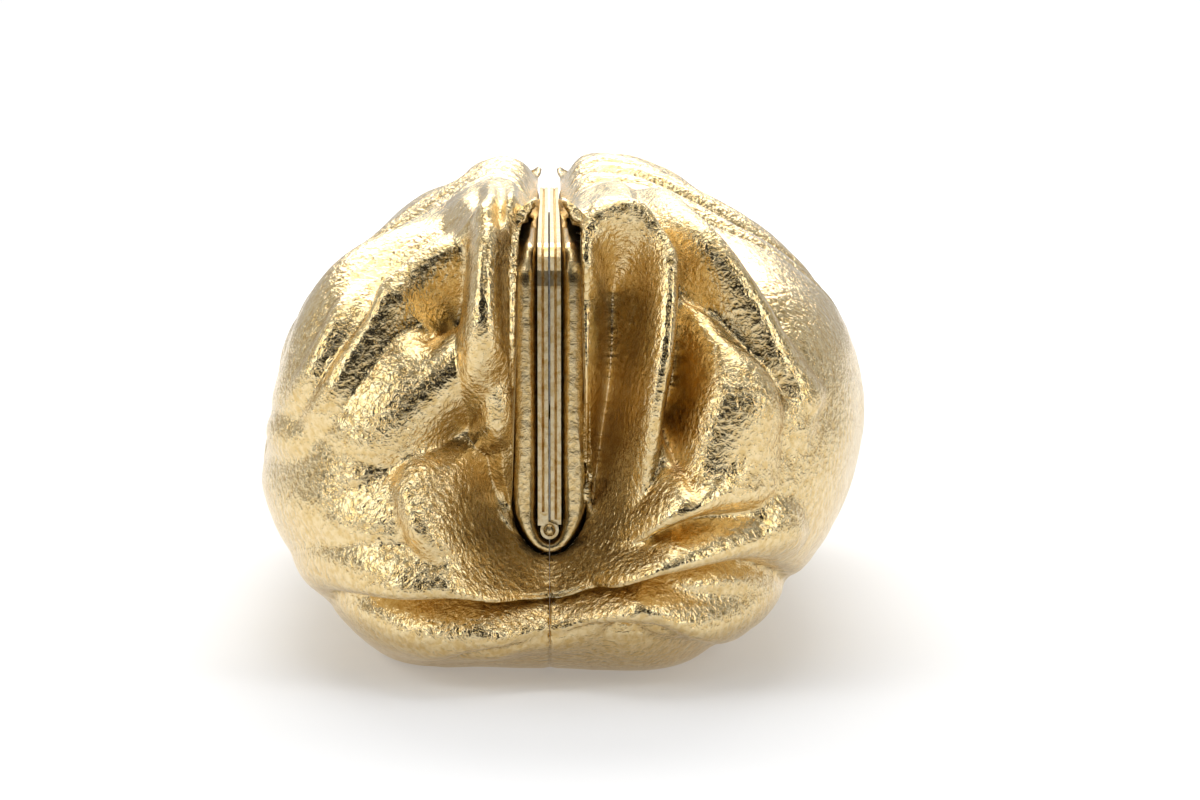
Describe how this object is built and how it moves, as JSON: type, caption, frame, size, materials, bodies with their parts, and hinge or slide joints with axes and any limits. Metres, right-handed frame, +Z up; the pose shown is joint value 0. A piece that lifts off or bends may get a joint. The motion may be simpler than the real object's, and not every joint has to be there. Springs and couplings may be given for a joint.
{
  "type": "cloud pouch bag",
  "caption": "Soft pouch bag of metallic gold leather, gathered onto a hinged leather-covered frame that is closed, standing on its base.",
  "frame": {"origin": "on the ground, in the middle of the bag's outline seen from above", "axes": "+X across the bag, to the right in the picture; +Y along the bag's length, away from the viewer of the picture; +Z up"},
  "size_m": [0.1816, 0.367, 0.1477],
  "materials": {
    "pouch_leather": "gold foil leather, crinkled, soft shine",
    "welt_leather": "gold foil leather over a padded roll, finely creased across",
    "frame_leather": "gold foil leather stretched smooth over a flat bar",
    "rivet_metal": "polished"
  },
  "bodies": {
    "root": {"panel_left": "pouch_leather", "panel_right": "pouch_leather", "welt_left": "welt_leather", "welt_right": "welt_leather", "frame_left": "frame_leather", "frame_right": "frame_leather", "hinge_rivet_near": "rivet_metal", "hinge_rivet_far": "rivet_metal"}
  },
  "joints": []
}
